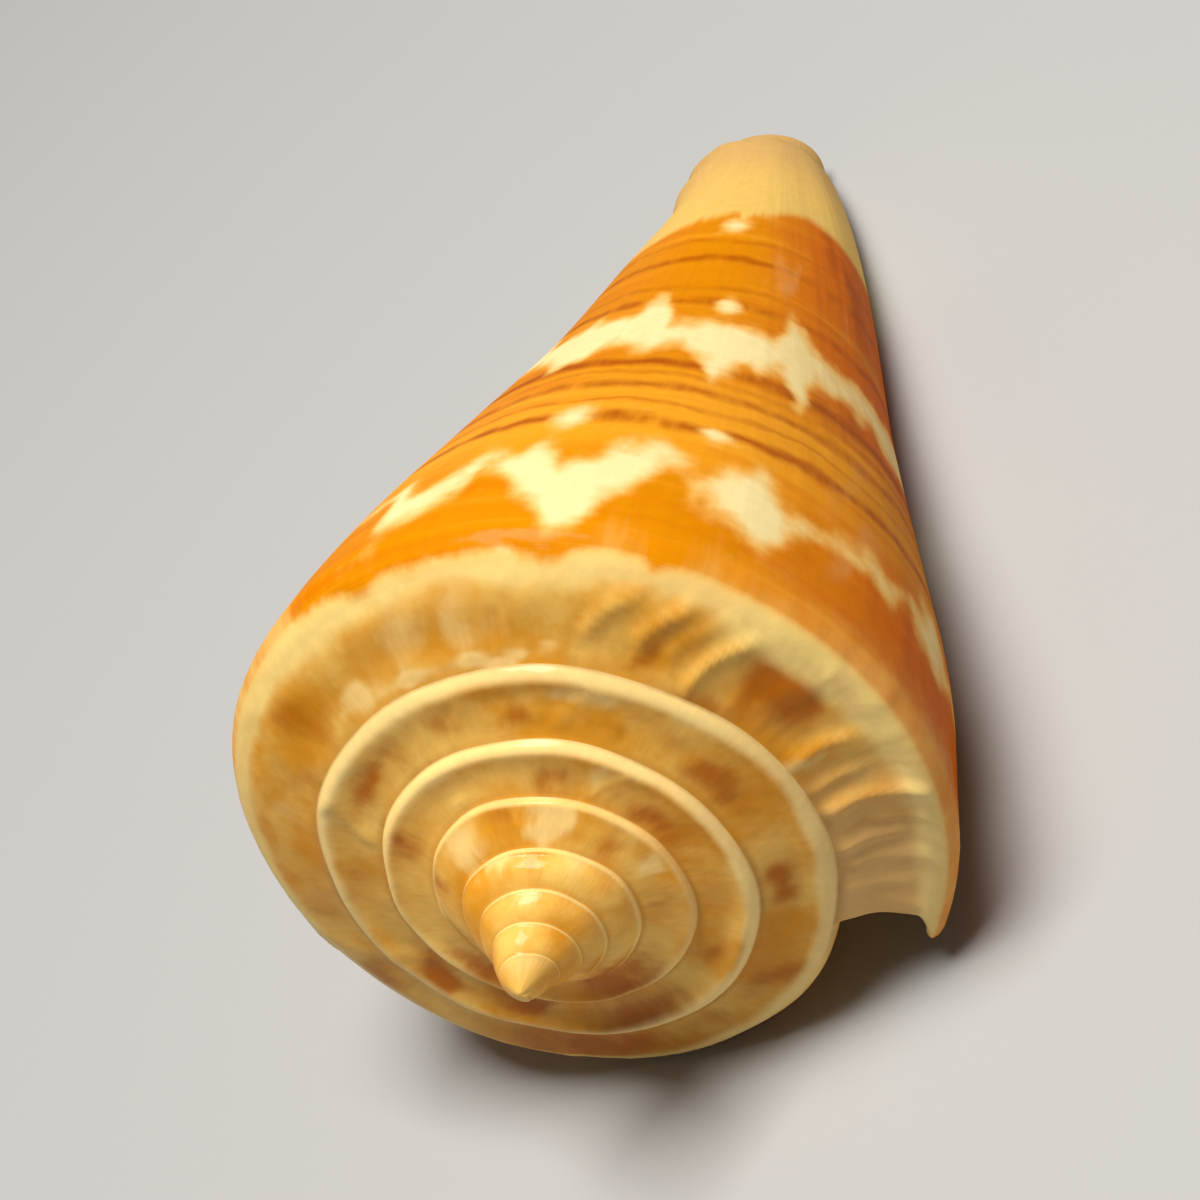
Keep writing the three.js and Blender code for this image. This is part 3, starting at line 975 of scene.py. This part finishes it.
# The painted shade, dark brown, in the crease on both sides of the suture
UNDER_CREST = (0.92, 1)  # places
UNDER_FROM = (0.95, 1)  # whorls back
AT_SUTURE = (0.1, 0)  # places
SUTURE_SHADE_GAPS = (-0.5, 0.4)
SUTURE_SHADE_SHARE = 0.6
SUTURE_SHADE_LESS = (2, 4, -0.15)  # whorls back

# The edges of the orange, of the pale front and of the flames
BRUSHED = (0.12, 0.26)  # whorls back
EDGE_GLOW = (-0.16, 0, 0.5)
EDGE_BLUR = (-0.08, 0.08)
FRONT_BLUR = (-0.014, 0.014)
FRONT_TANS = (1.8, 1.93)  # places
FLAME_RIM = (-1.7, 0, 0.85)
FLAME_FULL = (-0.9, 1.5)
FLAMES_WORN = -0.35  # how much of the flames' cream is lost near the lip

# Painted light on the older whorls, and the finish
# Painted light: the older whorls are made brighter, as if more fully lit
INNER_PAINTED_LIGHT = (1.4, 2.4, 0.14)  # whorls back
ROUGHNESS = 0.4
GLOSS = 0.09
CREAM_GLOSS = (0.05, -0.1, 0.2)
GLOSS_ROUGHNESS = 0.16
BUMP_STRENGTH = 0.35
BUMP_HEIGHT = 0.0001
LINING_CREAM = (-0.3, 0.3)
LINING_ROUGHNESS = 0.3


class Surface:
    """A material under construction, with short calls for the nodes that the shell needs."""

    def __init__(self, name):
        self.material = bpy.data.materials.new(name)
        self.material.use_nodes = True
        self.nodes = self.material.node_tree.nodes
        self.links = self.material.node_tree.links
        self.shader = self.nodes["Principled BSDF"]

    def node(self, kind, values=None, **settings):
        made = self.nodes.new(kind)
        for name, value in settings.items():
            setattr(made, name, value)
        for name, value in (values or {}).items():
            self.put(made.inputs[name], value)
        return made

    def put(self, socket, value):
        if isinstance(value, bpy.types.NodeSocket):
            self.links.new(value, socket)
        else:
            socket.default_value = value

    def math(self, operation, *values):
        return self.node("ShaderNodeMath", dict(enumerate(values)), operation=operation).outputs[0]

    def times(self, first, second):
        return self.math("MULTIPLY", first, second)

    def plus(self, total, *others):
        """A sum; a pair among the others is a value and how much of it is added."""
        for other in others:
            value = self.times(*other) if isinstance(other, tuple) else other
            total = self.math("ADD", total, value)
        return total

    def between(self, value, low, high, most=1):
        """0 up to low, most from high on, and smooth in between."""
        made = self.node(
            "ShaderNodeMapRange",
            {"Value": value, "From Min": low, "From Max": high, "To Max": most},
            interpolation_type="SMOOTHSTEP",
        )
        return made.outputs["Result"]

    def mix(self, share, first, second):
        made = self.node("ShaderNodeMix", {0: share, 6: first, 7: second}, data_type="RGBA")
        return made.outputs[2]

    def brighter(self, colour, amount):
        made = self.node("ShaderNodeVectorMath", {0: colour, "Scale": amount}, operation="SCALE")
        return made.outputs[0]

    def noise(self, vector, scale, detail, rough):
        """Noise about 0."""
        values = {"Vector": vector, "Scale": scale, "Detail": detail, "Roughness": rough}
        return self.math("SUBTRACT", self.node("ShaderNodeTexNoise", values).outputs["Fac"], 0.5)

    def growth(self):
        """The whorls back and the place across the wall, as a vector."""
        return self.node("ShaderNodeUVMap", uv_map="growth").outputs[0]

    def growth_noise(self, growth, along, across, detail, rough):
        """Noise about 0 that is drawn out over the growth."""
        drawn_out = self.node("ShaderNodeMapping", {"Vector": growth, "Scale": (along, across, 1)})
        return self.noise(drawn_out.outputs[0], 1, detail, rough)


class Outside(Surface):
    """The outside's material, with the places, marks and noises that its colours are mixed by."""

    def __init__(self):
        super().__init__("glossy orange and cream shell")
        growth = self.growth()
        split = self.node("ShaderNodeSeparateXYZ", {0: growth}).outputs
        self.whorl, self.place = split[0], split[1]
        self.orange, self.cream, self.front, self.brown = (
            self.node("ShaderNodeAttribute", attribute_name=name).outputs["Fac"]
            for name in ("orange", "cream", "front", "brown")
        )
        spot = self.node("ShaderNodeTexCoord").outputs["Object"]
        self.clouds, self.coarse, self.fine = (self.noise(spot, *kind) for kind in (CLOUDS, COARSE, FINE))
        self.streaks, self.hairs, self.rings = (
            self.growth_noise(growth, *kind) for kind in (STREAKS, HAIRS, RINGS)
        )
        self.streaked_whorl = self.plus(self.whorl, (self.streaks, LIP_STREAKS))
        self.near_lip = self.between(self.streaked_whorl, *BURNT)

    def side(self):
        """Orange, paler in the middle and burnt towards the lip, with brown lines round it."""
        slant = self.between(self.whorl, *SLANT)
        waves = self.plus(slant, (self.coarse, LINE_COARSE), (self.clouds, LINE_CLOUDS))
        level = self.math("SUBTRACT", self.place, waves)
        middle = self.times(self.between(level, *MIDDLE_STARTS), self.between(level, *MIDDLE_ENDS))
        colour = self.mix(middle, ORANGE, MIDDLE_ORANGE)
        colour = self.mix(self.near_lip, colour, self.mix(middle, BURNT_ORANGE, ORANGE))
        colour = self.mix(self.between(self.rings, *PALE_RINGS), colour, MIDDLE_ORANGE)
        colour = self.mix(self.between(self.rings, *BURNT_RINGS), colour, BURNT_ORANGE)
        gaps = self.between(self.plus(self.streaks, self.clouds), *LINE_GAPS)
        for at, wide, depth in LINES:
            away = self.math("ABSOLUTE", self.math("SUBTRACT", level, at))
            stroke = self.between(away, wide * LINE_BLUR, 0, depth)
            colour = self.mix(self.times(stroke, gaps), colour, LINE_BROWN)
        blotch_and_painted_light = self.plus(self.brown, self.coarse, self.streaks)
        colour = self.mix(self.between(blotch_and_painted_light, *SIDE_BROWN), colour, LINE_BROWN)
        return self.mix(self.between(blotch_and_painted_light, *SIDE_PEACH), colour, PEACH)

    def crest_cream(self):
        """The share of cream on the crest."""
        start = self.plus(self.between(self.whorl, *CREAM_MOVES), CREAM_START)
        past_start = self.plus(self.math("SUBTRACT", self.place, start), (self.clouds, CREST_CLOUDS))
        more, less = self.between(self.whorl, *CREST_MORE), self.between(self.whorl, *CREST_LESS)
        return self.times(self.between(past_start, *CREAM_COVERS), self.plus(more, less, CREST_SHARE))

    def suture_shade(self):
        """The share of painted shade, dark brown, in the crease on both sides of the suture."""
        under_crest = self.times(
            self.between(self.place, *UNDER_CREST), self.between(self.whorl, *UNDER_FROM)
        )
        share = self.math("MAXIMUM", under_crest, self.between(self.place, *AT_SUTURE))
        share = self.times(share, self.between(self.plus(self.clouds, self.coarse), *SUTURE_SHADE_GAPS))
        return self.times(share, self.plus(self.between(self.whorl, *SUTURE_SHADE_LESS), SUTURE_SHADE_SHARE))

    def ramps(self):
        """Clouds of amber and tan, with brown blotches and painted shade, pale patches and painted
        highlights, cream crests, and painted shade at the sutures.
        """
        small_whorls = self.between(self.whorl, *TAN_TOP)
        cloud = self.plus(self.clouds, (self.coarse, RAMP_COARSE), small_whorls)
        blotch_and_painted_light = self.plus(self.brown, self.clouds, self.coarse, (self.streaks, BLOTCH_STREAKS))
        crest = self.mix(self.between(self.whorl, *CREST_CHANGES), SHOULDER_CREAM, RAMP_CREAM)
        colour = self.mix(self.between(cloud, *TAN_CLOUDS), RAMP_AMBER, RAMP_TAN)
        colour = self.mix(self.between(self.streaked_whorl, *LIP_TAN), colour, LIP_BEIGE)
        # Brown blotches, some of them painted shade on the underside of the spire
        colour = self.mix(self.between(blotch_and_painted_light, *RAMP_BLOTCHES_AND_SHADE), colour, RAMP_BROWN)
        colour = self.mix(self.crest_cream(), colour, crest)
        # Pale patches, some of them painted highlights on the crests' top side
        colour = self.mix(self.between(blotch_and_painted_light, *RAMP_PATCHES_AND_HIGHLIGHTS), colour, RAMP_PALE)
        # Painted shade darkens the crease at the suture
        return self.mix(self.suture_shade(), colour, SUTURE_SHADE)

    def colour(self, edge, ragged):
        """The ramps and the side, with the pale front and the flames cut into them with ragged edges."""
        colour = self.mix(self.between(edge, *EDGE_GLOW), self.ramps(), FLAME_GLOW)
        colour = self.mix(self.between(edge, *EDGE_BLUR), colour, self.side())
        past_orange = self.plus(self.front, (ragged, FRONT_RAGGED))
        pale_front = self.mix(self.between(self.place, *FRONT_TANS), FRONT_CREAM, FRONT_TAN)
        colour = self.mix(self.between(past_orange, *FRONT_BLUR), colour, pale_front)
        flame = self.plus(self.cream, (self.coarse, FLAME_COARSE), (self.fine, FLAME_FINE))
        colour = self.mix(self.between(flame, *FLAME_RIM), colour, FLAME_GLOW)
        clean = self.plus(self.times(self.near_lip, FLAMES_WORN), 1)
        colour = self.mix(self.times(self.between(flame, *FLAME_FULL), clean), colour, CREAM)
        # Painted light: the older whorls are brightened
        inner_light = self.plus(self.between(self.whorl, *INNER_PAINTED_LIGHT), 1)
        return self.brighter(colour, self.plus(inner_light, (self.hairs, GRAIN_HAIRS), (self.fine, GRAIN_FINE)))


def outside_material():
    s = Outside()
    brushed = s.plus(s.times(s.streaks, EDGE_STREAKS), (s.hairs, EDGE_HAIRS))
    brushed = s.times(brushed, s.between(s.whorl, *BRUSHED))
    ragged = s.plus(brushed, (s.coarse, EDGE_COARSE))
    edge = s.plus(s.orange, ragged)
    s.put(s.shader.inputs["Base Color"], s.colour(edge, ragged))
    s.put(s.shader.inputs["Roughness"], s.plus(s.times(s.fine, ROUGH_FINE), ROUGHNESS))
    s.shader.inputs["Specular IOR Level"].default_value = 0
    s.put(s.shader.inputs["Coat Weight"], s.plus(s.between(edge, *CREAM_GLOSS), GLOSS))
    s.shader.inputs["Coat Roughness"].default_value = GLOSS_ROUGHNESS
    bumps = s.plus(s.times(s.hairs, BUMP_HAIRS), (s.fine, BUMP_FINE))
    bump = s.node(
        "ShaderNodeBump", {"Height": bumps, "Strength": BUMP_STRENGTH, "Distance": BUMP_HEIGHT}
    )
    s.put(s.shader.inputs["Normal"], bump.outputs[0])
    return s.material


def lining_material():
    s = Surface("pale shell lining")
    streaks = s.growth_noise(s.growth(), *LINING_STREAKS)
    s.put(s.shader.inputs["Base Color"], s.mix(s.between(streaks, *LINING_CREAM), SHOULDER_CREAM, CREAM))
    s.put(s.shader.inputs["Roughness"], s.plus(s.times(streaks, LINING_ROUGH_STREAKS), LINING_ROUGHNESS))
    return s.material


# Camera, floor and light

CAMERA_AT = Vector((52.32, -86.85, 87.75)) * MM
CAMERA_FORWARD = Vector((-0.4385, 0.6458, -0.6251))
CAMERA_UP = Vector((0.2670, 0.7577, 0.5955))
IMAGE_WIDTH = 1200
FOCAL_LENGTH = 2878.1  # in pixels of the photo
SENSOR_WIDTH = 36
NEAREST, FARTHEST = 0.005, 10
FLOOR_SIZE = 6
FLOOR_GREY, FLOOR_ROUGHNESS = (0.5, 0.5, 0.5, 1), 0.8
# The one soft light: direction from the shell, distance, width, watts and colour
KEY_LIGHT = ((0.09, -0.06, 1.0), 0.4, 0.18, 2.06, (1, 0.97, 0.92))
WORLD_WHITE, WORLD_STRENGTH = (1, 1, 1, 1), 0.07


def make_camera():
    data = bpy.data.cameras.new("camera")
    camera = bpy.data.objects.new("camera", data)
    bpy.context.scene.collection.objects.link(camera)
    bpy.context.scene.camera = camera
    data.sensor_width = SENSOR_WIDTH
    data.lens = SENSOR_WIDTH * FOCAL_LENGTH / IMAGE_WIDTH
    data.clip_start, data.clip_end = NEAREST, FARTHEST
    back = -CAMERA_FORWARD.normalized()
    right = CAMERA_UP.cross(back).normalized()
    up = back.cross(right)
    turn = Matrix((right, up, back)).transposed().to_4x4()
    camera.matrix_world = Matrix.Translation(CAMERA_AT) @ turn


def make_floor():
    deselect_all()
    bpy.ops.mesh.primitive_plane_add(size=FLOOR_SIZE, location=(0, 0, 0))
    floor = bpy.context.object
    floor.name = "floor"
    s = Surface("plain pale floor")
    s.shader.inputs["Base Color"].default_value = FLOOR_GREY
    s.shader.inputs["Roughness"].default_value = FLOOR_ROUGHNESS
    floor.data.materials.append(s.material)


def make_light(name, direction, distance, size, watts, colour):
    """A square soft light that shines on the shell from a direction."""
    data = bpy.data.lights.new(name, "AREA")
    data.size = size
    data.energy = watts
    data.color = colour
    light = bpy.data.objects.new(name, data)
    bpy.context.scene.collection.objects.link(light)
    towards = Vector(direction).normalized()
    light.location = towards * distance
    light.rotation_mode = "QUATERNION"
    light.rotation_quaternion = towards.to_track_quat("Z", "Y")


def make_world():
    world = bpy.data.worlds.new("studio")
    bpy.context.scene.world = world
    world.use_nodes = True
    background = world.node_tree.nodes["Background"]
    background.inputs["Color"].default_value = WORLD_WHITE
    background.inputs["Strength"].default_value = WORLD_STRENGTH


make_camera()
make_floor()
make_world()
make_light("key", *KEY_LIGHT)
bpy.context.scene.view_settings.view_transform = "Standard"

shell = make_shell()
lay_down(shell)
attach(shell, "root")
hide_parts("shell")
